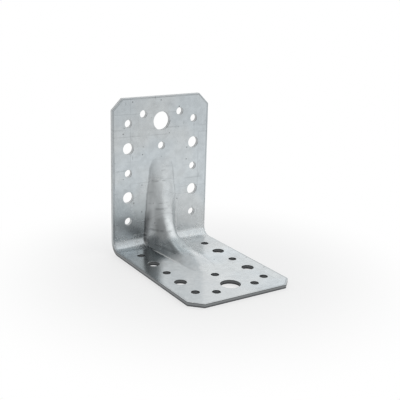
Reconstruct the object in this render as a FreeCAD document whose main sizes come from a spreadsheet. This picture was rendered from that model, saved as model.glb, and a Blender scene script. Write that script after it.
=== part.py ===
import FreeCAD, Part
import math
import os
import Sketcher
from FreeCAD import Placement, Rotation, Vector

# Reinforcing angle: one galvanised sheet, folded once, with a rib pressed across the fold.
# X runs along the fold, the upright leg stands at the +Y side and the flat leg lies on Z = 0.
# The origin is under the middle of the flat leg.
NODE = "reinforcing_angle"

# Driving dimensions in millimetres and degrees: alias, value, what it measures.
SIZES = [
    ("leg_length", "100", "outer length of each leg"),
    ("angle_width", "70", "width along the fold"),
    ("sheet_gauge", "2.5", "sheet thickness"),
    ("bend_inside", "6", "inside radius of the fold"),
    ("corner_cut", "7", "45 degree cut on each free corner"),
    ("rib_clear", "39", "plain end of the leg, from the rib's run-out to the free edge"),
    ("rib_sweep", "20", "radius of the rib's crest where it passes the fold"),
    ("rib_slope", "12", "angle between the crest and the leg where that radius ends"),
    ("runout_slope", "6.5", "angle between the crest and the leg at the run-out"),
    ("runout_share", "0.9", "the same angle at the rib's last section, as a share of that at the run-out"),
    ("section_pitch", "13.5", "most length of the rib that one of its sections stands for"),
    ("rib_foot", "24", "width of the rib's foot at the fold"),
    ("rib_tip", "19.5", "width of the rib's foot at the run-out"),
    ("rib_nose", "15", "width of the rounded crest"),
    ("foot_round", "3", "radius along the rib's foot, on the inside of the angle"),
    ("foot_sink", "0.2", "depth of the rib's foot below the face of the sheet"),
    ("runout_height", "0.3", "height of the rib's last section, which lies inside the sheet"),
    ("root_share", "0.12", "length of the flanks below the foot, as a share of the section's height"),
    ("nail_hole", "5", "diameter of the nail holes"),
    ("screw_hole", "7.5", "diameter of the screw holes"),
    ("bolt_hole", "12", "diameter of the bolt hole"),
    ("column_spacing", "48", "distance between the two columns of holes"),
    ("row_first", "20", "first row of holes, from the outer corner"),
    ("row_last", "16", "last row of holes, from the free edge"),
    ("bolt_edge", "16", "bolt hole, from the free edge"),
    ("centre_edge", "32", "single nail hole on the middle line, from the free edge"),
    ("pair_edge", "10.7", "pair of nail holes beside the bolt hole, from the free edge"),
    ("pair_spacing", "26.6", "distance between the holes of that pair"),
]

# Side view of the rib's crest, measured from the outer faces. It is a small arc past the fold, with its
# centre at crest_centre from both faces, and a large arc along each leg that flattens out to the run-out.
CREST = [
    ("rib_reach", "Sizes.leg_length - Sizes.rib_clear"),
    ("start_lean", "sin(Sizes.rib_slope) - cos(Sizes.rib_slope)"),
    ("end_lean", "sin(Sizes.runout_slope) - cos(Sizes.runout_slope)"),
    ("runout_radius",
     "(rib_reach - Sizes.sheet_gauge + Sizes.rib_sweep * start_lean) / (start_lean - end_lean)"),
    ("radius_step", "runout_radius - Sizes.rib_sweep"),
    ("crest_centre",
     "Sizes.sheet_gauge - radius_step * cos(Sizes.rib_slope) + runout_radius * cos(Sizes.runout_slope)"),
    ("bend_centre", "Sizes.sheet_gauge + Sizes.bend_inside"),
    ("rise_at_fold", "(crest_centre - bend_centre) * sqrt(2) + Sizes.bend_inside - Sizes.rib_sweep"),
    ("crest_at_fold", "crest_centre - Sizes.rib_sweep / sqrt(2)"),
    ("foot_taper", "(Sizes.rib_foot - Sizes.rib_tip) / (rib_reach - crest_at_fold)"),
    ("sunk_slope", "Sizes.runout_slope * Sizes.runout_share"),
]

# Sections of the rib on one leg, from its run-out to the middle of the fold: name, angle between the crest
# and the leg, and whether the section lies on the large arc. A longer rib gets more sections.
QUARTER_TURN = 90
VALUES = {alias: float(value) for alias, value, meaning in SIZES}
RUN_STEPS = math.ceil((VALUES["leg_length"] - VALUES["rib_clear"]) / VALUES["section_pitch"])
RUNOUT = f"run{RUN_STEPS}"
FOLD = "fold"
STATIONS = [
    (f"run{step}", f"Sizes.rib_slope + (sunk_slope - Sizes.rib_slope) * {step} / {RUN_STEPS}", True)
    for step in range(RUN_STEPS, -1, -1)]
STATIONS += [
    ("swept", f"(Sizes.rib_slope + {QUARTER_TURN} / 2) / 2", False),
    (FOLD, f"{QUARTER_TURN} / 2", False),
]

# Rows of holes in the two columns, from the fold outwards.
ROWS = ("nail_hole", "screw_hole", "nail_hole", "screw_hole", "nail_hole")

# Sketcher's numbers for the points of a line or arc and for a sketch's own axes.
START, END, CENTRE = range(1, 4)
X_AXIS, Y_AXIS = range(-1, -3, -1)

# Points closer than this, in millimetres, count as touching.
TOUCH = 1e-4


def fill_sheet(doc, name, cells):
    """Write named cells one under another; a later formula may use an earlier cell."""
    sheet = doc.addObject("Spreadsheet::Sheet", name)
    for row, (alias, text) in enumerate(cells, start=1):
        sheet.set(f"A{row}", alias)
        sheet.set(f"B{row}", text)
        sheet.setAlias(f"B{row}", alias)
        sheet.recompute()
    return sheet


def station_cells(name, turn, on_runout):
    """Formulas for one section: place of its crest, width of its foot, and height from foot to crest."""
    radius = "runout_radius" if on_runout else "Sizes.rib_sweep"
    shift = "radius_step" if on_runout else "0"
    crest_off = f"crest_centre + {shift} * cos(Sizes.rib_slope) - {radius} * cos({name}_turn)"
    crest_along = f"crest_centre + {shift} * sin(Sizes.rib_slope) - {radius} * sin({name}_turn)"
    leg_rise = f"({name}_off - Sizes.sheet_gauge) / cos({name}_turn)"
    rise = "rise_at_fold" if name == FOLD else leg_rise
    height = "Sizes.runout_height" if name == RUNOUT else f"{rise} + Sizes.foot_sink"
    return [
        (f"{name}_turn", f"={turn}"),
        (f"{name}_off", f"={crest_off}"),
        (f"{name}_along", f"={crest_along}"),
        (f"{name}_foot", f"=Sizes.rib_foot - foot_taper * ({name}_along - crest_at_fold)"),
        (f"{name}_height", f"={height}"),
        (f"{name}_depth", f"={name}_height * (1 + Sizes.root_share)"),
    ]


def point(x, y):
    """Point in a sketch."""
    return Vector(x, y, 0)


def new_sketch(body, name, role):
    """Sketch on one of the body's own origin planes."""
    sketch = body.newObject("Sketcher::SketchObject", name)
    plane = next(plane for plane in body.Origin.OriginFeatures if plane.Role == role)
    sketch.AttachmentSupport = [(plane, "")]
    sketch.MapMode = "FlatFace"
    return sketch


def bind(sketch, constraint, formula):
    """Add a dimension and tie it to a formula."""
    index = sketch.addConstraint(constraint)
    sketch.setExpression(f"Constraints[{index}]", formula)


def measure(sketch, constraint, name):
    """Add a dimension that only reads the sketch, under a name that other sketches can use."""
    index = sketch.addConstraint(constraint)
    sketch.setDriving(index, False)
    sketch.renameConstraint(index, name)


def fold_profile(body):
    """Side view of the folded sheet: two legs and the concentric arcs of the bend."""
    sketch = new_sketch(body, "FoldProfile", "YZ_Plane")
    leg = sizes.leg_length
    gauge = sizes.sheet_gauge
    back = leg / 2
    inner = sizes.bend_inside
    outer = inner + gauge
    lines = [
        (point(back, outer), point(back, leg)),
        (point(back, leg), point(back - gauge, leg)),
        (point(back - gauge, leg), point(back - gauge, outer)),
        (point(back - outer, gauge), point(-back, gauge)),
        (point(-back, gauge), point(-back, 0)),
        (point(-back, 0), point(back - outer, 0)),
    ]
    up_back, up_end, up_front, low_top, low_end, low_under = [
        sketch.addGeometry(Part.LineSegment(start, end)) for start, end in lines]
    bend_centre = point(back - outer, outer)
    circles = [Part.Circle(bend_centre, Vector(0, 0, 1), radius) for radius in (inner, outer)]
    inner_arc, outer_arc = [
        sketch.addGeometry(Part.ArcOfCircle(circle, -math.pi / 2, 0)) for circle in circles]
    for first, second in ((up_back, up_end), (up_end, up_front), (low_top, low_end), (low_end, low_under)):
        sketch.addConstraint(Sketcher.Constraint("Coincident", first, END, second, START))
    for line, line_end, arc, arc_end in (
            (up_front, END, inner_arc, END), (low_top, START, inner_arc, START),
            (up_back, START, outer_arc, END), (low_under, END, outer_arc, START)):
        sketch.addConstraint(Sketcher.Constraint("Tangent", line, line_end, arc, arc_end))
    sketch.addConstraint(Sketcher.Constraint("Coincident", inner_arc, CENTRE, outer_arc, CENTRE))
    for line in (up_back, up_front, low_end):
        sketch.addConstraint(Sketcher.Constraint("Vertical", line))
    for line in (up_end, low_top, low_under):
        sketch.addConstraint(Sketcher.Constraint("Horizontal", line))
    sketch.addConstraint(Sketcher.Constraint("PointOnObject", low_under, START, X_AXIS))
    half_leg = "Sizes.leg_length / 2"
    bind(sketch, Sketcher.Constraint("DistanceX", X_AXIS, START, up_back, START, back), half_leg)
    bind(sketch, Sketcher.Constraint("DistanceX", low_end, START, X_AXIS, START, back), half_leg)
    bind(sketch, Sketcher.Constraint("DistanceY", X_AXIS, START, up_end, START, leg), "Sizes.leg_length")
    bind(sketch, Sketcher.Constraint("Distance", up_end, gauge), "Sizes.sheet_gauge")
    bind(sketch, Sketcher.Constraint("Radius", inner_arc, inner), "Sizes.bend_inside")
    return sketch


def place_section(sketch, leg, name):
    """Stand a sketch across the crest: its origin on the crest, its Y axis away from the sheet."""
    off, along, turn = [f"RibLayout.{name}_{size}" for size in ("off", "along", "turn")]
    if leg == "upright":
        back, up, tilt = off, along, f"2 * {QUARTER_TURN} - {turn}"
    else:
        back, up, tilt = along, off, f"{QUARTER_TURN} + {turn}"
    sketch.AttachmentOffset = Placement(Vector(), Rotation(Vector(1, 0, 0), QUARTER_TURN))
    sketch.setExpression("AttachmentOffset.Base.y", f"Sizes.leg_length / 2 - {back}")
    sketch.setExpression("AttachmentOffset.Base.z", up)
    sketch.setExpression("AttachmentOffset.Rotation.Angle", tilt)


def tent(sketch, top, radius, lean, depth):
    """Section like a tent: a base line at the depth, two leaning flanks, and a round nose at the top."""
    nose_centre = point(0, top - radius)
    half_nose = radius * math.sin(lean)
    nose_end = top - radius * (1 - math.cos(lean))
    half_base = half_nose + (nose_end + depth) / math.tan(lean)
    base = sketch.addGeometry(Part.LineSegment(point(-half_base, -depth), point(half_base, -depth)))
    right = sketch.addGeometry(Part.LineSegment(point(half_base, -depth), point(half_nose, nose_end)))
    circle = Part.Circle(nose_centre, Vector(0, 0, 1), radius)
    nose = sketch.addGeometry(Part.ArcOfCircle(circle, math.pi / 2 - lean, math.pi / 2 + lean))
    left = sketch.addGeometry(Part.LineSegment(point(-half_nose, nose_end), point(-half_base, -depth)))
    sketch.addConstraint(Sketcher.Constraint("Coincident", base, END, right, START))
    sketch.addConstraint(Sketcher.Constraint("Tangent", right, END, nose, START))
    sketch.addConstraint(Sketcher.Constraint("Tangent", nose, END, left, START))
    sketch.addConstraint(Sketcher.Constraint("Coincident", left, END, base, START))
    sketch.addConstraint(Sketcher.Constraint("Symmetric", base, START, base, END, Y_AXIS))
    sketch.addConstraint(Sketcher.Constraint("PointOnObject", nose, CENTRE, Y_AXIS))
    return base, right, nose


def crest_section(body, leg, name):
    """Rib's form on the inside of the angle, at one station."""
    sketch = new_sketch(body, f"Crest_{leg}_{name}", "XY_Plane")
    place_section(sketch, leg, name)
    height = getattr(rib, f"{name}_height")
    depth = getattr(rib, f"{name}_depth")
    half_foot = getattr(rib, f"{name}_foot") / 2
    half_nose = sizes.rib_nose / 2
    lean = math.atan(height / (half_foot - half_nose / 2))
    radius = half_nose / math.sin(lean)
    base, right, nose = tent(sketch, 0, radius, lean, depth)
    foot = sketch.addGeometry(Part.Point(point(half_foot, -height)), True)
    sketch.addConstraint(Sketcher.Constraint("PointOnObject", X_AXIS, START, nose))
    sketch.addConstraint(Sketcher.Constraint("PointOnObject", foot, START, right))
    foot_aside = Sketcher.Constraint("DistanceX", X_AXIS, START, foot, START, half_foot)
    foot_below = Sketcher.Constraint("DistanceY", foot, START, X_AXIS, START, height)
    base_below = Sketcher.Constraint("DistanceY", base, START, X_AXIS, START, depth)
    nose_across = Sketcher.Constraint("DistanceX", nose, END, nose, START, sizes.rib_nose)
    bind(sketch, foot_aside, f"RibLayout.{name}_foot / 2")
    bind(sketch, foot_below, f"RibLayout.{name}_height")
    bind(sketch, base_below, f"RibLayout.{name}_depth")
    bind(sketch, nose_across, "Sizes.rib_nose")
    measure(sketch, Sketcher.Constraint("Radius", nose, radius), "nose_radius")
    measure(sketch, Sketcher.Constraint("Angle", right, math.pi - lean), "flank_angle")
    return sketch


def hollow_section(body, leg, name, crest):
    """Hollow behind the rib at the same station, one sheet thickness below the crest section."""
    sketch = new_sketch(body, f"Hollow_{leg}_{name}", "XY_Plane")
    place_section(sketch, leg, name)
    gauge = sizes.sheet_gauge
    radius = crest.getDatum("nose_radius").Value - gauge
    angle = crest.getDatum("flank_angle").getValueAs("rad").Value
    depth = gauge + getattr(rib, f"{name}_depth")
    base, right, nose = tent(sketch, -gauge, radius, math.pi - angle, depth)
    crest_radius = f"{crest.Name}.Constraints.nose_radius"
    centre_below = Sketcher.Constraint("DistanceY", nose, CENTRE, X_AXIS, START, radius + gauge)
    base_below = Sketcher.Constraint("DistanceY", base, START, X_AXIS, START, depth)
    bind(sketch, centre_below, crest_radius)
    bind(sketch, Sketcher.Constraint("Radius", nose, radius), f"{crest_radius} - Sizes.sheet_gauge * 1 mm")
    bind(sketch, Sketcher.Constraint("Angle", right, angle), f"{crest.Name}.Constraints.flank_angle")
    bind(sketch, base_below, f"RibLayout.{name}_depth + Sizes.sheet_gauge")
    return sketch


def loft(body, kind, name, sections):
    """Solid through a row of sections, added to the body or taken from it."""
    feature = body.newObject(kind, name)
    feature.Profile = sections[0]
    feature.Sections = sections[1:]
    doc.recompute()
    return feature


def sheet_depth(place):
    """How far a point lies below the outer faces of the folded sheet."""
    outer = sizes.bend_inside + sizes.sheet_gauge
    back = sizes.leg_length / 2 - place.y
    under = place.z
    if back < outer and under < outer:
        return outer - math.hypot(outer - back, outer - under)
    return min(back, under)


def foot_edges(shape, depth):
    """Names of the edges where the pressed rib meets the sheet's face at the given depth."""
    names = []
    for number, edge in enumerate(shape.Edges, start=1):
        kinds = {face.Surface.TypeId for face in shape.ancestorsOfType(edge, Part.Face)}
        on_face = all(abs(sheet_depth(vertex.Point) - depth) < TOUCH for vertex in edge.Vertexes)
        if on_face and "Part::GeomBSplineSurface" in kinds and len(kinds) == 2:
            names.append(f"Edge{number}")
    return names


def free_corners(shape):
    """Names of the short edges through the sheet at the four free corners."""
    side = sizes.angle_width / 2
    names = []
    for number, edge in enumerate(shape.Edges, start=1):
        box = edge.BoundBox
        at_side = box.XLength < TOUCH and abs(abs(box.Center.x) - side) < TOUCH
        at_top = box.ZMin > sizes.leg_length - TOUCH
        at_front = box.YMax < TOUCH - sizes.leg_length / 2
        if at_side and (at_top or at_front):
            names.append(f"Edge{number}")
    return names


def dress(body, kind, name, base, edges, size, formula):
    """Chamfer or fillet on named edges of the feature before it."""
    feature = body.newObject(kind, name)
    feature.Base = (base, edges)
    feature.setExpression(size, formula)
    doc.recompute()
    return feature


def hole_places():
    """Holes of one leg: size, distance from the middle line and from the outer corner, as formulas."""
    rows = "(Sizes.leg_length - Sizes.row_first - Sizes.row_last)"
    for row, size in enumerate(ROWS):
        share = f"{row} / {len(ROWS) - 1}"
        yield size, "Sizes.column_spacing / 2", f"Sizes.row_first + {rows} * {share}"
    yield "nail_hole", "Sizes.pair_spacing / 2", "Sizes.leg_length - Sizes.pair_edge"
    yield "nail_hole", None, "Sizes.leg_length - Sizes.centre_edge"
    yield "bolt_hole", None, "Sizes.leg_length - Sizes.bolt_edge"


def punch(sketch, size, side, aside, along):
    """One round hole: to the right (1), to the left (-1) or on the middle line (0)."""
    diameter = getattr(sizes, size)
    x = sketch.evalExpression(aside) if side else 0
    y = sketch.evalExpression(along)
    hole = sketch.addGeometry(Part.Circle(point(side * x, y), Vector(0, 0, 1), diameter / 2))
    bind(sketch, Sketcher.Constraint("Diameter", hole, diameter), f"Sizes.{size}")
    bind(sketch, Sketcher.Constraint("DistanceY", X_AXIS, START, hole, CENTRE, y), along)
    if side > 0:
        bind(sketch, Sketcher.Constraint("DistanceX", X_AXIS, START, hole, CENTRE, x), aside)
    elif side < 0:
        bind(sketch, Sketcher.Constraint("DistanceX", hole, CENTRE, X_AXIS, START, x), aside)
    else:
        sketch.addConstraint(Sketcher.Constraint("PointOnObject", hole, CENTRE, Y_AXIS))


def punch_leg(body, leg):
    """All holes of one leg in one sketch, measured from the outer corner, cut through the sheet."""
    sketch = new_sketch(body, f"Holes_{leg}", "XZ_Plane" if leg == "upright" else "XY_Plane")
    if leg == "flat":
        sketch.AttachmentOffset = Placement(Vector(), Rotation(Vector(0, 0, 1), 2 * QUARTER_TURN))
        sketch.setExpression("AttachmentOffset.Base.y", "Sizes.leg_length / 2")
    for size, aside, along in hole_places():
        for side in ((-1, 1) if aside else (0,)):
            punch(sketch, size, side, aside, along)
    pocket = body.newObject("PartDesign::Pocket", f"Punched_{leg}")
    pocket.Profile = sketch
    pocket.Type = "ThroughAll"
    pocket.Reversed = leg == "flat"
    doc.recompute()
    return pocket


doc = FreeCAD.newDocument("ReinforcingAngle")
sizes = fill_sheet(doc, "Sizes", [(alias, value) for alias, value, meaning in SIZES])
layout_cells = [(alias, "=" + formula) for alias, formula in CREST]
for station in STATIONS:
    layout_cells += station_cells(*station)
rib = fill_sheet(doc, "RibLayout", layout_cells)

body = doc.addObject("PartDesign::Body", "Angle")
body.Label = NODE

folded = body.newObject("PartDesign::Pad", "FoldedSheet")
folded.Profile = fold_profile(body)
folded.SideType = "Symmetric"
folded.setExpression("Length", "Sizes.angle_width")
doc.recompute()
trimmed = dress(body, "PartDesign::Chamfer", "CornerCuts", folded, free_corners(folded.Shape),
                "Size", "Sizes.corner_cut")

names = [station[0] for station in STATIONS]
path = [("upright", name) for name in names] + [("flat", name) for name in reversed(names[:-1])]
crests = [crest_section(body, leg, name) for leg, name in path]
doc.recompute()
pressed = loft(body, "PartDesign::AdditiveLoft", "Rib", crests)
foot = dress(body, "PartDesign::Fillet", "RibFoot", pressed, foot_edges(pressed.Shape, sizes.sheet_gauge),
             "Radius", "Sizes.foot_round")
hollows = [hollow_section(body, leg, name, crest) for (leg, name), crest in zip(path, crests)]
doc.recompute()
hollow = loft(body, "PartDesign::SubtractiveLoft", "RibHollow", hollows)
mouth = dress(body, "PartDesign::Fillet", "HollowMouth", hollow, foot_edges(hollow.Shape, 0),
              "Radius", "Sizes.foot_round + Sizes.sheet_gauge")
steps = [folded, trimmed, pressed, foot, hollow, mouth]
steps += [punch_leg(body, leg) for leg in ("upright", "flat")]

failed = [item.Label for item in doc.Objects if {"Invalid", "Error"} & set(item.State)]
if failed:
    raise RuntimeError(f"not built: {failed}")
for before, after in zip(steps, steps[1:]):
    if abs(after.Shape.Volume - before.Shape.Volume) < TOUCH:
        raise RuntimeError(f"{after.Label} changes nothing")
shape = body.Shape
if shape.isNull() or not shape.isValid() or len(shape.Solids) != 1:
    raise RuntimeError(f"{NODE} is not one valid solid")
os.makedirs("parts", exist_ok=True)
shape.exportStep(f"parts/{NODE}.step")
print(f"{NODE}: {shape.Volume:.1f} mm3, {shape.optimalBoundingBox()}")
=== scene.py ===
# %% [markdown]
# # Reinforcing angle
# This lesson dresses one steel angle for joining timber: a galvanised sheet, punched with nail, screw and
# bolt holes, folded once, with a rib pressed through the fold so that it can't open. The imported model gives
# the exact form. What is left to do here is what a photographer sees: rolled edges, cut steel, zinc, and the
# light.

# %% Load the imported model
import math
import bpy
from mathutils import Matrix, Vector


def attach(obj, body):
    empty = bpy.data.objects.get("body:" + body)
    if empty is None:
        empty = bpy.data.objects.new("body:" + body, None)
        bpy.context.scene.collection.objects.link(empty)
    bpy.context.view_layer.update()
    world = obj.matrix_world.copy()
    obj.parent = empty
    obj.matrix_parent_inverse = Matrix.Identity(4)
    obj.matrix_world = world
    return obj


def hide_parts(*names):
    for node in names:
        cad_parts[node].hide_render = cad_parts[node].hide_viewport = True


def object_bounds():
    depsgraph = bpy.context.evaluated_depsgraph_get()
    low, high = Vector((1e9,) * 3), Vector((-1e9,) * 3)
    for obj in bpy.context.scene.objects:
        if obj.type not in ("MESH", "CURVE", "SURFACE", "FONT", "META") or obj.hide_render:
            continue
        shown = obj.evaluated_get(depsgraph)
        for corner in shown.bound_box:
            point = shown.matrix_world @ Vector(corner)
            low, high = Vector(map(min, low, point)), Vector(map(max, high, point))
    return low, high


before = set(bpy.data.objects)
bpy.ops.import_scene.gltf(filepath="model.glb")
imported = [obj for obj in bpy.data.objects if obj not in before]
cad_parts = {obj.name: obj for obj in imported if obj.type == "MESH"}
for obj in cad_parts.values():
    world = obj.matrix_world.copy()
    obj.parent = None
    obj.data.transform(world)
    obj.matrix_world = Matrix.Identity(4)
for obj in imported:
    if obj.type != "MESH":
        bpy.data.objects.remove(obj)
cad_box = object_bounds()
print("CAD box in metres:", [tuple(round(v, 4) for v in corner) for corner in cad_box])

# %% [markdown]
# ## The sheet
# The angle could be modelled again from a plane, with solidify and a bend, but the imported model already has
# the true outline, holes and rib. So a copy of it is the start. Its triangles are loose, so the corners are
# merged first. Then triangles that lie in one plane are dissolved into large faces: long thin triangles
# between the holes would otherwise draw streaks in the reflections.

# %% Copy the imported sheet
MM = 0.001
NODE = "reinforcing_angle"
MERGE = 0.002 * MM
IN_ONE_PLANE = math.radians(0.05)


def pick(piece):
    """Make one piece the only selected and active one."""
    if bpy.context.mode != "OBJECT":
        bpy.ops.object.mode_set(mode="OBJECT")
    bpy.ops.object.select_all(action="DESELECT")
    piece.select_set(True)
    bpy.context.view_layer.objects.active = piece


pick(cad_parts[NODE])
bpy.ops.object.duplicate()
sheet = bpy.context.object
sheet.name = sheet.data.name = "pressed_sheet"
bpy.ops.mesh.customdata_custom_splitnormals_clear()
bpy.ops.object.mode_set(mode="EDIT")
bpy.ops.mesh.select_all(action="SELECT")
bpy.ops.mesh.remove_doubles(threshold=MERGE)
bpy.ops.mesh.dissolve_limited(angle_limit=IN_ONE_PLANE)
bpy.ops.object.mode_set(mode="OBJECT")
print("sheet:", len(sheet.data.vertices), "corners,", len(sheet.data.polygons), "faces")

# %% [markdown]
# ## Edges as the press leaves them
# A punch pulls the sheet down before it cuts, so every edge and hole is rounded on the side that the punch
# came from, here the inside of the angle, and almost sharp on the other side. A bevel modifier would round
# both alike. In edit mode the two sides are picked by how deep they lie in the sheet, and each gets its own
# bevel.

# %% How deep a point lies in the sheet
GAUGE = 2.5 * MM
BEND_OUTSIDE = 8.5 * MM
BACK = cad_box[1].y


def depth_in_sheet(place):
    """Distance from the outer faces, which are the back, the underside and the outside of the bend."""
    inward = Vector((max(0, BEND_OUTSIDE - (BACK - place.y)), max(0, BEND_OUTSIDE - place.z)))
    return BEND_OUTSIDE - inward.length


depths = [depth_in_sheet(corner.co) for corner in sheet.data.vertices]
print(f"depths from {min(depths) / MM:.2f} to {max(depths) / MM:.2f} mm")

# %% Round the edges
ROLLED, ROLLED_STEPS = 0.35 * MM, 4
BURRED, BURRED_STEPS = 0.12 * MM, 2
SHARP = math.radians(35)
SLACK = 0.05 * MM


def on_inside(place):
    """True on the inner faces of the angle, where the punch came in."""
    return depth_in_sheet(place) > GAUGE - SLACK


def on_outside(place):
    """True on the outer faces, where the punch came out."""
    return depth_in_sheet(place) < SLACK


def round_edges(piece, chosen, width, segments):
    """Bevel the sharp edges whose two corners both pass the test."""
    pick(piece)
    bpy.ops.object.mode_set(mode="EDIT")
    bpy.ops.mesh.select_mode(type="EDGE")
    bpy.ops.mesh.select_all(action="DESELECT")
    bpy.ops.mesh.edges_select_sharp(sharpness=SHARP)
    bpy.ops.object.mode_set(mode="OBJECT")
    corners = piece.data.vertices
    for edge in piece.data.edges:
        if edge.select:
            edge.select = all(chosen(corners[index].co) for index in edge.vertices)
    count = sum(edge.select for edge in piece.data.edges)
    bpy.ops.object.mode_set(mode="EDIT")
    bpy.ops.mesh.bevel(offset=width, segments=segments, affect="EDGES", clamp_overlap=True)
    bpy.ops.object.mode_set(mode="OBJECT")
    return count


inside = round_edges(sheet, on_inside, ROLLED, ROLLED_STEPS)
outside = round_edges(sheet, on_outside, BURRED, BURRED_STEPS)
print("rounded", inside, "inner and", outside, "outer edges")

# %% Shade smoothly
SMOOTH = math.radians(40)
pick(sheet)
bpy.ops.object.shade_smooth_by_angle(angle=SMOOTH)
weights = sheet.modifiers.new("face weights", "WEIGHTED_NORMAL")
weights.keep_sharp = True
bpy.ops.object.modifier_apply(modifier=weights.name)
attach(sheet, "root")
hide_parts(NODE)
print("sheet now has", len(sheet.data.polygons), "faces")

# %% [markdown]
# ## Zinc
# The sheet was dipped in zinc before it was pressed. Seen close, the zinc is a satin metal with cloudy tone,
# hairlines from handling, dark specks and marks from the press. A picture could be wrapped on it, but a
# pattern of nodes has no seams and no size limit. Everything is measured in millimetres on the object itself.
# The pattern also needs the direction along the strip before it was folded. y + z stands for that: it grows
# from -50 at the free end of the flat leg, through the bend at 44 to 56, to 150 at the top of the upright.

# %% Node helpers


def add(tree, kind, label, **settings):
    """New node with a label and its settings."""
    node = tree.nodes.new(kind)
    node.name = node.label = label
    for name, value in settings.items():
        setattr(node, name, value)
    return node


def feed(tree, socket, value):
    """Set a socket to a number or a colour, or link it to another node's output."""
    if isinstance(value, bpy.types.NodeSocket):
        tree.links.new(value, socket)
    else:
        socket.default_value = value


def maths(tree, operation, first, second=0.0, label=""):
    """One sum."""
    node = add(tree, "ShaderNodeMath", label or operation.lower(), operation=operation)
    feed(tree, node.inputs[0], first)
    feed(tree, node.inputs[1], second)
    return node.outputs[0]


def product(tree, *values):
    """All the values multiplied."""
    result = values[0]
    for value in values[1:]:
        result = maths(tree, "MULTIPLY", result, value)
    return result


def total(tree, *pairs):
    """Sum of values, each times its own strength."""
    result = product(tree, *pairs[0])
    for pair in pairs[1:]:
        result = maths(tree, "ADD", result, product(tree, *pair))
    return result


def remap(tree, value, low, high, to_low=0.0, to_high=1.0, label="remap"):
    """Smooth step from one range to another."""
    node = add(tree, "ShaderNodeMapRange", label, interpolation_type="SMOOTHSTEP")
    for socket, item in zip(node.inputs, (value, low, high, to_low, to_high)):
        feed(tree, socket, item)
    return node.outputs["Result"]


print("helpers for sums ready")

# %% Pattern and colour helpers


def clouds(tree, vector, scale, detail=2.0, rough=0.5, label="clouds"):
    """Noise between 0 and 1."""
    node = add(tree, "ShaderNodeTexNoise", label)
    feed(tree, node.inputs["Vector"], vector)
    feed(tree, node.inputs["Scale"], scale)
    feed(tree, node.inputs["Detail"], detail)
    feed(tree, node.inputs["Roughness"], rough)
    return node.outputs["Fac"]


def stretch(tree, vector, scale, label="stretch"):
    """Scale a vector by its own amount each way."""
    node = add(tree, "ShaderNodeMapping", label)
    feed(tree, node.inputs["Vector"], vector)
    feed(tree, node.inputs["Scale"], scale)
    return node.outputs["Vector"]


def blend(tree, factor, first, second, kind="MIX", label="blend"):
    """Mix two colours."""
    node = add(tree, "ShaderNodeMix", label, data_type="RGBA", blend_type=kind)
    feed(tree, node.inputs["Factor"], factor)
    feed(tree, node.inputs[6], first)
    feed(tree, node.inputs[7], second)
    return node.outputs[2]


def tint(tree, colour, amount, label):
    """A colour made darker or lighter."""
    return blend(tree, 1.0, colour, amount, "MULTIPLY", label)


print("helpers for patterns ready")

# %% Places on the sheet, as nodes
CORNER_CUT = 7.0 * MM


def new_material(name):
    """Empty metal."""
    material = bpy.data.materials.new(name)
    material.use_nodes = True
    material.node_tree.nodes["Principled BSDF"].inputs["Metallic"].default_value = 1
    return material, material.node_tree


def sheet_depth(tree, behind, z):
    """The same measure as depth_in_sheet, in nodes."""
    bend = BEND_OUTSIDE / MM
    inward = maths(tree, "MAXIMUM", maths(tree, "SUBTRACT", bend, behind), 0.0)
    down = maths(tree, "MAXIMUM", maths(tree, "SUBTRACT", bend, z), 0.0)
    squares = maths(tree, "ADD", maths(tree, "POWER", inward, 2.0), maths(tree, "POWER", down, 2.0))
    return maths(tree, "SUBTRACT", bend, maths(tree, "SQRT", squares), "depth in the sheet")


def from_outline(tree, x, y, z):
    """Distance from the nearest side, end or cut corner of the strip."""
    side = maths(tree, "SUBTRACT", cad_box[1].x / MM, maths(tree, "ABSOLUTE", x), "from the side")
    end = maths(tree, "MINIMUM", maths(tree, "SUBTRACT", cad_box[1].z / MM, z),
                maths(tree, "SUBTRACT", y, cad_box[0].y / MM), "from the end")
    past_cut = maths(tree, "SUBTRACT", maths(tree, "ADD", side, end), CORNER_CUT / MM)
    corner = product(tree, past_cut, math.sqrt(0.5))
    return maths(tree, "MINIMUM", maths(tree, "MINIMUM", side, end), corner, "from the outline")


def places(tree):
    """Where a point lies, in millimetres: on the object, on the strip, in the sheet, from fold and rim."""
    here = add(tree, "ShaderNodeTexCoord", "place").outputs["Object"]
    scaled = add(tree, "ShaderNodeVectorMath", "millimetres", operation="SCALE")
    feed(tree, scaled.inputs[0], here)
    scaled.inputs["Scale"].default_value = 1 / MM
    spot = scaled.outputs["Vector"]
    split = add(tree, "ShaderNodeSeparateXYZ", "x y z")
    feed(tree, split.inputs[0], spot)
    x, y, z = split.outputs
    along = maths(tree, "ADD", y, z, "along the strip")
    strip = add(tree, "ShaderNodeCombineXYZ", "flat strip")
    feed(tree, strip.inputs[0], x)
    feed(tree, strip.inputs[1], along)
    behind = maths(tree, "SUBTRACT", BACK / MM, y, "from the back")
    return {"spot": spot, "strip": strip.outputs[0], "along": along, "across": x, "height": z,
            "depth": sheet_depth(tree, behind, z), "rim": from_outline(tree, x, y, z),
            "fold": maths(tree, "MAXIMUM", behind, z, "distance from the fold")}


zinc, tree = new_material("galvanised_sheet")
at = places(tree)
print("zinc reads", ", ".join(at))
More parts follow.
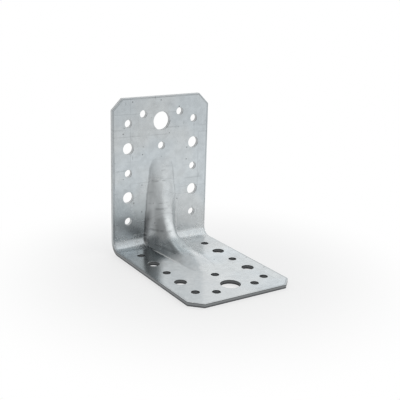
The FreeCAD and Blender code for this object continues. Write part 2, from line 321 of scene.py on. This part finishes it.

# %% [markdown]
# ### Tone
# Zinc has no single grey. Broad clouds drift between a cool and a warmer grey, and a finer mottle breaks them
# up. The flat leg is painted lighter, most of all on its left: a painted reflection. Its right front and the
# top of the upright are darker. Each of these places could be painted by hand. A fade between two places on
# the strip does the same with two numbers, in millimetres, and a name for them says which place it is.

# %% Clouds and mottle
COOL, WARM = (0.545, 0.59, 0.615, 1), (0.59, 0.62, 0.63, 1)
DRIFT_SCALE, MOTTLE_SCALE = 0.035, 0.26
MOST_CLOUDS, STEEP = (0.3, 0.7), (0.36, 0.64)
MOTTLE_TONES = (0.93, 1.04)
drift = clouds(tree, at["spot"], DRIFT_SCALE, label="drift")
mottle = clouds(tree, at["spot"], MOTTLE_SCALE, detail=3.0, rough=0.55, label="mottle")
tone = blend(tree, remap(tree, drift, *STEEP), COOL, WARM, label="cool to warm")
tone = tint(tree, tone, remap(tree, mottle, *MOST_CLOUDS, *MOTTLE_TONES), "mottled")
print("tone between", COOL[:3], "and", WARM[:3])

# %% Painted reflection on the flat leg, and a darker front and top
FLAT_LEG, REFLECTION_SIDE, REFLECTION_GAIN = (60.0, 30.0), (8.0, -14.0, 0.45, 1.0), 1.21
FRONT, RIGHT_HALF, DARKER_FRONT = (22.0, -4.0), (-6.0, 8.0), 0.92
TOP, TOP_TONES = (92.0, 136.0), (1.05, 0.94)
# The flat leg is painted lighter, most on its left: a painted reflection.
painted_reflection = product(tree, remap(tree, at["along"], *FLAT_LEG), remap(tree, at["across"], *REFLECTION_SIDE))
tone = tint(tree, tone, remap(tree, painted_reflection, 0.0, 1.0, 1.0, REFLECTION_GAIN), "painted reflection on flat leg")
# The right front of the flat leg is darker, and the upright is lighter low down and darker towards its top.
right_front = product(tree, remap(tree, at["along"], *FRONT), remap(tree, at["across"], *RIGHT_HALF))
tone = tint(tree, tone, remap(tree, right_front, 0.0, 1.0, 1.0, DARKER_FRONT), "darker right front")
tone = tint(tree, tone, remap(tree, at["along"], *TOP, *TOP_TONES), "darker top")
print("flat leg times", REFLECTION_GAIN, "and its right front times", DARKER_FRONT)

# %% [markdown]
# ### Handling marks
# Sheets slide over each other in the shop, which leaves straight hairlines, and dust and dirt leave dark
# specks. Along the cut edges the zinc is worn thin. A picture of scratches would repeat. Here a hairline is
# noise along one direction only, cut to a thin band and broken up by broader patches. The specks are the
# middles of a few cells of a Voronoi pattern, each of its own size.

# %% Hairlines
THIN, PATCHES = 0.04, (0.46, 0.60)
ASKEW = 0.02


def hairlines(position, scale, level, patch_scale, label):
    """Thin straight bands, only inside patches."""
    lines = add(tree, "ShaderNodeTexNoise", label, noise_dimensions="1D")
    feed(tree, lines.inputs["W"], position)
    lines.inputs["Scale"].default_value = scale
    lines.inputs["Detail"].default_value = 1
    thin = remap(tree, lines.outputs["Fac"], level, level + THIN, label=label + " cut")
    patch = clouds(tree, stretch(tree, at["strip"], patch_scale), 1.0, detail=1.0, label=label + " patches")
    return product(tree, thin, remap(tree, patch, *PATCHES))


slightly_askew = maths(tree, "ADD", at["along"], product(tree, at["across"], ASKEW), "slightly askew")
crosswise = hairlines(slightly_askew, scale=0.42, level=0.66, patch_scale=(0.055, 0.10, 1),
                      label="hairlines across")
lengthwise = hairlines(at["across"], scale=0.55, level=0.66, patch_scale=(0.30, 0.035, 1),
                       label="hairlines along")
print("hairlines set")

# %% Specks and stains
SMALLEST, FIRM = 0.5, 0.4
DRAGGED, STAIN_SHAPE = (1.0, 0.22, 1), (0.07, 0.11, 1)
STAINED = (0.60, 0.76)
RIM_STARTS, RIM_ENDS, UNEVEN = (0.25, 0.5), (1.3, 0.8), (0.35, 0.55, 0.4, 1.0)


def specks(vector, scale, size, share, label):
    """Middles of a share of the cells, of uneven size."""
    cells = add(tree, "ShaderNodeTexVoronoi", label, voronoi_dimensions="2D")
    feed(tree, cells.inputs["Vector"], vector)
    feed(tree, cells.inputs["Scale"], scale)
    chance = add(tree, "ShaderNodeSeparateColor", label + " chance")
    feed(tree, chance.inputs[0], cells.outputs["Color"])
    reach = remap(tree, chance.outputs[1], 0.0, 1.0, size * SMALLEST, size, label + " size")
    middle = product(tree, reach, FIRM)
    near = remap(tree, cells.outputs["Distance"], reach, middle, label=label + " middle")
    few = maths(tree, "GREATER_THAN", chance.outputs[0], 1 - share)
    return product(tree, near, few)


dots = specks(at["strip"], scale=0.15, size=0.09, share=0.16, label="dots")
dashes = specks(stretch(tree, at["strip"], DRAGGED), scale=0.24, size=0.10, share=0.20, label="dashes")
thinned = product(tree, remap(tree, at["rim"], *RIM_STARTS), remap(tree, at["rim"], *RIM_ENDS),
                  remap(tree, mottle, *UNEVEN))
stains = clouds(tree, stretch(tree, at["strip"], STAIN_SHAPE), 1.0, detail=3.0, rough=0.6, label="stains")
stains = remap(tree, stains, *STAINED)
print("specks and stains set")

# %% Darken the marks
DIRT_AND_SHADE = (0.10, 0.105, 0.11, 1)
marks = total(tree, (crosswise, 0.13), (lengthwise, 0.12), (dots, 0.75), (dashes, 0.28), (stains, 0.12),
              (thinned, 0.38))
tone = blend(tree, marks, tone, DIRT_AND_SHADE, label="marked")
print("six kinds of marks")

# %% [markdown]
# ### Rib
# The die that drew the rib left scuffs across the draw on its left face, and small pits. Its flanks are
# painted a
# little darker: painted shade. A dark line along each foot is painted shade in the crease. On the flat leg
# the left foot carries a painted highlight, a bright line, and on the upright leg painted shade lies left of
# the foot and down in the corner. Painting by hand could do this too, but height over the sheet and place
# along the strip find the same spots and stay with the shape.

# %% Scuffs and pits on the rib, painted shade on its flanks and feet
ON_RIB, FLANK, LEFT_FACE = (2.7, 4.0), (2.5, 7.0), (4.5, 1.0)
PATTERN_SHIFT = 44.0
PIT_SHAPE = (1, 0.6, 1)
FOOT_CREASE_STARTS, FOOT_CREASE_ENDS, FOOT_CREASE_SIDE = (2.53, 2.60), (3.0, 2.75), (6.0, 9.0)
aside = maths(tree, "ABSOLUTE", at["across"], label="from the middle")
raised = remap(tree, at["depth"], *ON_RIB, label="on the rib")
# The flanks are painted darker: painted shade.
flank_shade = product(tree, raised, remap(tree, aside, *FLANK))
shifted = maths(tree, "ADD", at["height"], PATTERN_SHIFT)
scuffs = hairlines(shifted, scale=0.6, level=0.56, patch_scale=(0.16, 0.10, 1), label="scuffs")
scuffs = product(tree, raised, scuffs, remap(tree, at["across"], *LEFT_FACE))
pits = specks(stretch(tree, at["strip"], PIT_SHAPE), scale=0.3, size=0.17, share=0.16, label="pits")
pits = product(tree, raised, pits)
# A dark line along each foot is painted shade in the crease.
foot_crease_shade = product(tree, remap(tree, at["depth"], *FOOT_CREASE_STARTS), remap(tree, at["depth"], *FOOT_CREASE_ENDS),
                  remap(tree, aside, *FOOT_CREASE_SIDE))
# Scuffs and pits are marks on the zinc; the flank and foot darkening is painted shade.
rib_marks_and_shade = total(tree, (flank_shade, 0.09), (scuffs, 0.28), (pits, 0.35), (foot_crease_shade, 0.20))
tone = blend(tree, rib_marks_and_shade, tone, DIRT_AND_SHADE, label="rib_marks_and_shade")
print("rib scuffed")

# %% Painted shade at the foot of the rib and in the corner
UPRIGHT, THINS_UPWARD = (42.0, 54.0), (62.0, 95.0, 1.0, 0.4)
FOOT_STARTS, FOOT_ENDS, LEFT_FOOT = (2.53, 2.75), (6.0, 3.0), (-4.0, -8.0, 0.15, 1.0)
CORNER_STARTS, CORNER_ENDS, LEFT_OF_RIB = (45.0, 58.0), (76.0, 66.0), (-3.0, -10.0)
# Painted shade on the upright, left of the rib's foot, thinning upward.
left_foot_shade = product(tree, remap(tree, at["depth"], *FOOT_STARTS), remap(tree, at["depth"], *FOOT_ENDS),
                  remap(tree, at["across"], *LEFT_FOOT), remap(tree, at["along"], *UPRIGHT),
                  remap(tree, at["along"], *THINS_UPWARD))
# Painted shade down in the corner, left of the rib.
corner = product(tree, remap(tree, at["along"], *CORNER_STARTS), remap(tree, at["along"], *CORNER_ENDS),
                 remap(tree, at["across"], *LEFT_OF_RIB))
rib_foot_shade = total(tree, (left_foot_shade, 0.50), (corner, 0.42))
tone = blend(tree, rib_foot_shade, tone, DIRT_AND_SHADE, label="painted shade beside the rib")
print("painted shade at the foot of the rib")

# %% Painted highlight on the crease at the foot of the rib
PAINTED_LIGHT = (0.86, 0.88, 0.88, 1)
LEFT_HALF = (2.5, -3.0)
CREASE_STARTS, CREASE_ENDS = (2.53, 2.58), (2.90, 2.70)
CREASE_FRONT, CREASE_BACK, HIGHLIGHT_STRENGTH = (7.0, 15.0), (40.0, 33.0), 0.8
# A bright line along the left foot on the flat leg: a painted highlight.
crease_highlight = product(tree, remap(tree, at["depth"], *CREASE_STARTS), remap(tree, at["depth"], *CREASE_ENDS),
                 remap(tree, at["across"], *LEFT_HALF), remap(tree, at["along"], *CREASE_FRONT),
                 remap(tree, at["along"], *CREASE_BACK))
tone = blend(tree, product(tree, crease_highlight, HIGHLIGHT_STRENGTH), tone, PAINTED_LIGHT, label="painted crease highlight")
print("foot of the rib creased")

# %% [markdown]
# ### Bend
# On the inside of the fold the zinc is squeezed, and wrinkles into small ridges. They only show near the
# bend's radius and in patches. Modelled ridges would need a very fine mesh, so a band round the bend carries
# its own bump and a lighter tone, which is a painted highlight on the ridges, stronger on the right.

# %% Wrinkles in the bend
INNER_SIDE, OFF_RIB, BEND_BAND = (1.6, 2.3), (4.5, 3.0), (12.5, 8.5)
WRINKLE_SCALE, WRINKLE_CUT = 0.95, (0.46, 0.60)
AREA_SCALE, AREA_CUT = 0.16, (0.42, 0.58)
BRIGHTER_RIGHT = (0.0, 8.0, 0.40, 0.70)
inner = remap(tree, at["depth"], *INNER_SIDE, label="inner side")
near_bend = product(tree, remap(tree, at["fold"], *BEND_BAND), remap(tree, at["depth"], *OFF_RIB), inner)
wrinkle = clouds(tree, at["spot"], WRINKLE_SCALE, rough=0.6, label="wrinkles")
area = clouds(tree, at["spot"], AREA_SCALE, detail=1.0, label="wrinkled patches")
crinkled = product(tree, near_bend, remap(tree, wrinkle, *WRINKLE_CUT), remap(tree, area, *AREA_CUT))
# The lighter tone on the ridges is a painted highlight, stronger on the right.
ridge_highlights = product(tree, crinkled, remap(tree, at["across"], *BRIGHTER_RIGHT))
tone = blend(tree, ridge_highlights, tone, PAINTED_LIGHT, label="painted ridge highlights")
print("bend wrinkled")

# %% [markdown]
# ### Painted bright patch
# A pale matte patch is painted brightness on the zinc, standing in for a brighter reflection. It lies on the
# left of the flat leg in front of a slanting line, fades out over the middle along a wandering edge, and lies
# again on the right of the rib round the fold. A patch could be its own shader, mixed in over the zinc. Here
# one mask makes the zinc paler and less metallic, so the same surface carries it.

# %% Painted bright patch
SLOPE, SLANT_EDGE = 0.56, (-32.0, -25.0)
WANDER, WANDERING_EDGE = 24.0, (24.0, 4.0)
BEFORE_FOLD = (27.0, 14.0)
SIDE_STARTS, SIDE_ENDS, RIGHT_OF_RIB = (14.0, 28.0), (74.0, 62.0), (7.0, 12.0)
WEAK_IN_BEND, CLOUDY = (6.0, 8.0, 0.3, 1.0), (0.85, 1.0)
IN_FRONT, BESIDE, PALER = 1.4, 1.0, 0.35
slant = maths(tree, "SUBTRACT", at["across"], product(tree, at["along"], SLOPE), "slanting line")
wander = maths(tree, "ADD", at["across"], product(tree, drift, WANDER), "wandering edge")
in_front = product(tree, remap(tree, at["along"], *BEFORE_FOLD), remap(tree, wander, *WANDERING_EDGE),
                   remap(tree, slant, *SLANT_EDGE))
beside = product(tree, remap(tree, at["along"], *SIDE_STARTS), remap(tree, at["along"], *SIDE_ENDS),
                 remap(tree, at["across"], *RIGHT_OF_RIB))
# A paler, less metallic patch: painted brightness standing in for a brighter reflection.
bright_patch = product(tree, inner, total(tree, (in_front, IN_FRONT), (beside, BESIDE)),
                remap(tree, mottle, *MOST_CLOUDS, *CLOUDY), remap(tree, at["fold"], *WEAK_IN_BEND))
tone = blend(tree, product(tree, bright_patch, PALER), tone, PAINTED_LIGHT, label="painted bright patch")
print("painted bright patch in front of the rib and beside it")

# %% [markdown]
# ### Gloss and relief
# The marks are not only darker or lighter. They are duller than clean zinc, and they stand a few hundredths
# of a millimetre up or down. The left of the flat leg is rubbed smooth and mirrors the rib. Separate textures
# could say all this, but the masks that coloured the zinc fit exactly, so they are used again here.

# %% Gloss of the zinc
CLEAN_GLOSS, RUBBED = (0.22, 0.28), 0.68
RUBBED_FLAT, RUBBED_LEFT = (44.0, 30.0), (2.0, -4.0)
surface = tree.nodes["Principled BSDF"]
rubbed = product(tree, remap(tree, at["along"], *RUBBED_FLAT), remap(tree, at["across"], *RUBBED_LEFT))
gloss = product(tree, remap(tree, drift, *MOST_CLOUDS, *CLEAN_GLOSS, "gloss"),
                remap(tree, rubbed, 0.0, 1.0, 1.0, RUBBED, "rubbed smooth"))
dull = total(tree, (marks, 0.25), (rib_marks_and_shade, 0.10), (crinkled, 0.10))
less_metallic = total(tree, (crease_highlight, 0.8), (crinkled, 0.2), (bright_patch, 0.6))
feed(tree, surface.inputs["Base Color"], tone)
feed(tree, surface.inputs["Metallic"], maths(tree, "SUBTRACT", 1.0, less_metallic))
feed(tree, surface.inputs["Roughness"], maths(tree, "ADD", gloss, dull))
print("zinc has its gloss")

# %% Relief of the zinc
ZINC_RELIEF = 0.02 * MM
relief = total(tree, (mottle, 0.3), (marks, -0.5), (foot_crease_shade, -0.8), (crease_highlight, 4.0), (crinkled, 2.5))
bump = add(tree, "ShaderNodeBump", "bump")
bump.inputs["Distance"].default_value = ZINC_RELIEF
feed(tree, bump.inputs["Height"], relief)
feed(tree, surface.inputs["Normal"], bump.outputs["Normal"])
print("zinc has", len(tree.nodes), "nodes")

# %% [markdown]
# ## Cut steel
# The edges and the walls of the holes were cut after the zinc bath, so they are bare steel: first a smooth
# band where the punch slid, then a rough, darker band where the steel tore, with a dark line at each arris.
# In the holes the steel is painted darker, a painted shade in their deep walls, and on the edges of the
# upright leg it is painted lighter, a painted light.
# The bands could be cut into the mesh as faces of their own, but depth in the sheet tells them apart as well.

# %% Sheared edge
TORN, SLID = (0.14, 0.145, 0.15, 1), (0.25, 0.26, 0.265, 1)
LIT_CUT_TONE, ARRIS = (0.62, 0.645, 0.655, 1), (0.07, 0.072, 0.075, 1)
RAGGED, SLID_FROM = 0.5, (1.0, 1.35)
HOLE_SHADE = (0.8, 1.6, 1.0, 0.56)
LIT_CUT_FROM, LIT_CUT_SHARE = (48.0, 56.0), (0.3, 0.6, 0.5, 0.85)
INNER_ARRIS, OUTER_ARRIS, ARRIS_SHARE = (1.85, 2.15), (0.5, 0.2), 0.55
TORN_SCALE = 1.3
cut, tree = new_material("sheared_edge")
at = places(tree)
torn = clouds(tree, at["spot"], TORN_SCALE, detail=4.0, rough=0.65, label="torn")
ragged = maths(tree, "ADD", at["depth"], product(tree, torn, RAGGED))
slid = remap(tree, ragged, *SLID_FROM, label="slid")
tone = blend(tree, slid, TORN, SLID, label="torn to slid")
# Cut faces inside holes are painted darker: painted shade.
tone = tint(tree, tone, remap(tree, at["rim"], *HOLE_SHADE, "inside a hole"), "painted shade in holes")
# Cut faces on the upright leg are painted lighter: painted light.
lit_upright_cuts = product(tree, remap(tree, at["along"], *LIT_CUT_FROM), remap(tree, torn, *LIT_CUT_SHARE))
tone = blend(tree, lit_upright_cuts, tone, LIT_CUT_TONE, label="painted light on upright cuts")
arris = maths(tree, "MAXIMUM", remap(tree, at["depth"], *INNER_ARRIS), remap(tree, at["depth"], *OUTER_ARRIS))
tone = blend(tree, product(tree, arris, ARRIS_SHARE), tone, ARRIS, label="dark arrises")
print("cut steel coloured")

# %% Finish the cut steel
CUT_GLOSS = (0.55, 0.38)
CUT_RELIEF = 0.04 * MM
surface = tree.nodes["Principled BSDF"]
feed(tree, surface.inputs["Base Color"], tone)
feed(tree, surface.inputs["Roughness"], remap(tree, slid, 0.0, 1.0, *CUT_GLOSS))
bump = add(tree, "ShaderNodeBump", "bump")
bump.inputs["Distance"].default_value = CUT_RELIEF
feed(tree, bump.inputs["Height"], torn)
feed(tree, surface.inputs["Normal"], bump.outputs["Normal"])
print("cut steel has", len(tree.nodes), "nodes")

# %% Give each face its finish
RISE = 0.01 * MM
SIDEWAYS, SQUARE = 0.99, 0.3
sheet.data.materials.clear()
sheet.data.materials.append(zinc)
sheet.data.materials.append(cut)


def is_cut(face):
    """True on the faces that stand square to the sheet: edges and walls of holes."""
    place, way = face.center, face.normal
    if abs(place.x) > cad_box[1].x - SLACK:
        return True
    if depth_in_sheet(place) > GAUGE + RISE:
        return False
    if abs(way.x) > SIDEWAYS:
        return True
    if BACK - place.y > BEND_OUTSIDE:
        return abs(way.z) < SQUARE
    return place.z > BEND_OUTSIDE and abs(way.y) < SQUARE


for face in sheet.data.polygons:
    face.material_index = int(is_cut(face))
print(sum(face.material_index for face in sheet.data.polygons), "cut faces")

# %% [markdown]
# ## Studio
# Metal shows what stands round it. The angle sits on white paper in a light tent: bright to the right and
# behind, with a softbox up to the right, and dim to the left and in front, where the photographer stands. The
# dim side is what draws the rib. Lamps could be set up one by one, but a tent painted in the world has no
# edge that shows in the zinc. Near the angle the paper takes light and shadow as paper does. Further out it
# fades to plain white, and past the camera it turns as dim as the tent behind it.

# %% Which way in the tent
DIM_TURN, DIM_CONE, DIM = -40, (80, 15), 0.44


def facing(tree, way, turn, lift):
    """Cosine between a way and a place in the tent, which is turned from the front and lifted, in degrees."""
    turn, lift = math.radians(turn), math.radians(lift)
    node = add(tree, "ShaderNodeVectorMath", "facing", operation="DOT_PRODUCT")
    feed(tree, node.inputs[0], way)
    level = math.cos(lift)
    node.inputs[1].default_value = (math.sin(turn) * level, -math.cos(turn) * level, math.sin(lift))
    return node.outputs["Value"]


def cone(tree, cosine, outer, inner, strength, label):
    """Fade from nothing outside a cone to full strength inside it, its two angles in degrees."""
    fade = math.cos(math.radians(outer)), math.cos(math.radians(inner))
    return remap(tree, cosine, *fade, 0.0, strength, label)


def heading(tree, place):
    """The way from the middle of the angle to a place."""
    node = add(tree, "ShaderNodeVectorMath", "way", operation="NORMALIZE")
    feed(tree, node.inputs[0], place)
    return node.outputs["Vector"]


def dim_side(tree, way):
    """How far the tent at floor level falls below white, toward the photographer."""
    return cone(tree, facing(tree, way, DIM_TURN, 0), *DIM_CONE, DIM, "dim side")


print("ways in the tent ready")

# %% White paper
PAPER_SIZE, PAPER_LEVEL = 6, -0.2 * MM
PAPER = (0.93, 0.93, 0.93, 1)
bpy.ops.object.select_all(action="DESELECT")
bpy.ops.mesh.primitive_plane_add(size=PAPER_SIZE, location=(0, 0, PAPER_LEVEL))
floor = bpy.context.object
floor.name = "paper"
paper, tree = new_material("white_paper")
surface = tree.nodes["Principled BSDF"]
surface.inputs["Metallic"].default_value = 0
surface.inputs["Base Color"].default_value = PAPER
surface.inputs["Roughness"].default_value = 1
print("paper laid")

# %% Paper that fades to white
WHITENS = (0.045, 0.15, 0.65, 1.0)
PAST_CAMERA_TURN, PAST_CAMERA = -20, (0.16, 0.36)
place = add(tree, "ShaderNodeTexCoord", "place").outputs["Object"]
reach = add(tree, "ShaderNodeVectorMath", "distance", operation="LENGTH")
feed(tree, reach.inputs[0], place)
path = add(tree, "ShaderNodeLightPath", "path")
seen = maths(tree, "MAXIMUM", path.outputs["Is Camera Ray"], path.outputs["Is Glossy Ray"])
seen = maths(tree, "MAXIMUM", seen, path.outputs["Is Transmission Ray"])
share = product(tree, seen, remap(tree, reach.outputs["Value"], *WHITENS, "fade to white"))
past_camera = remap(tree, facing(tree, place, PAST_CAMERA_TURN, 0), *PAST_CAMERA, label="past the camera")
dim = product(tree, dim_side(tree, heading(tree, place)), past_camera)
glow = add(tree, "ShaderNodeEmission", "white")
feed(tree, glow.inputs["Strength"], maths(tree, "SUBTRACT", 1.0, dim, "white or dim"))
mix = add(tree, "ShaderNodeMixShader", "paper and white")
feed(tree, mix.inputs[0], share)
feed(tree, mix.inputs[1], surface.outputs[0])
feed(tree, mix.inputs[2], glow.outputs[0])
feed(tree, tree.nodes["Material Output"].inputs[0], mix.outputs[0])
floor.data.materials.append(paper)
print("paper white")

# %% Light tent
CLOTH_PLACE, CLOTH_CONE, CLOTH = (-57, 25), (95, 45), 0.71
BOX_PLACE, BOX_CONE, BOX = (57, 35), (44, 28), 0.24
TENT = 1.04
CLIMB = math.sin(math.radians(14))
world = bpy.data.worlds.new("light_tent")
bpy.context.scene.world = world
world.use_nodes = True
tree = world.node_tree
way = heading(tree, add(tree, "ShaderNodeTexCoord", "sky").outputs["Generated"])
low = maths(tree, "SUBTRACT", 1.0, dim_side(tree, way), "at floor level")
cloth = cone(tree, facing(tree, way, *CLOTH_PLACE), *CLOTH_CONE, CLOTH, "dark cloth")
box = cone(tree, facing(tree, way, *BOX_PLACE), *BOX_CONE, BOX, "softbox")
high = maths(tree, "SUBTRACT", maths(tree, "ADD", box, TENT), cloth, "overhead")
lift = add(tree, "ShaderNodeSeparateXYZ", "lift")
feed(tree, lift.inputs[0], way)
climb = remap(tree, lift.outputs["Z"], 0.0, CLIMB, label="climb")
light = maths(tree, "ADD", low, product(tree, climb, maths(tree, "SUBTRACT", high, low)), "light")
feed(tree, tree.nodes["Background"].inputs["Strength"], light)
tree.nodes["Background"].inputs["Color"].default_value = (1, 1, 1, 1)
print("tent lit")

# %% [markdown]
# ## Camera
# The camera stands to the left and a little above, where lines of holes in the model fall on those in the
# picture. It could be set by eye with its rotation fields. Three vectors for its axes are exact, and say what
# each number does. It is tipped by a degree, and its lens is shifted a little because the picture is a crop.

# %% Camera
STAND = Vector((-0.229191, -0.34843, 0.169725))
TURN, LIFT, TIP = math.radians(-30.82), math.radians(16.83), math.radians(0.96)
SENSOR = 36
PICTURE, FOCAL, CROP = 400, 725.7, 30
bpy.ops.object.camera_add()
camera = bpy.context.object
camera.name = "camera"
toward = Vector((math.sin(TURN) * math.cos(LIFT), -math.cos(TURN) * math.cos(LIFT), math.sin(LIFT)))
level = Vector((math.cos(TURN), math.sin(TURN), 0))
upward = toward.cross(level)
right = math.cos(TIP) * level + math.sin(TIP) * upward
top = math.cos(TIP) * upward - math.sin(TIP) * level
pose = Matrix((right, top, toward)).transposed().to_4x4()
pose.translation = STAND
camera.matrix_world = pose
camera.data.sensor_width = SENSOR
camera.data.lens = SENSOR * FOCAL / PICTURE
camera.data.shift_x = CROP / PICTURE
bpy.context.scene.camera = camera
bpy.context.scene.view_settings.view_transform = "Standard"
print("camera at", tuple(STAND))
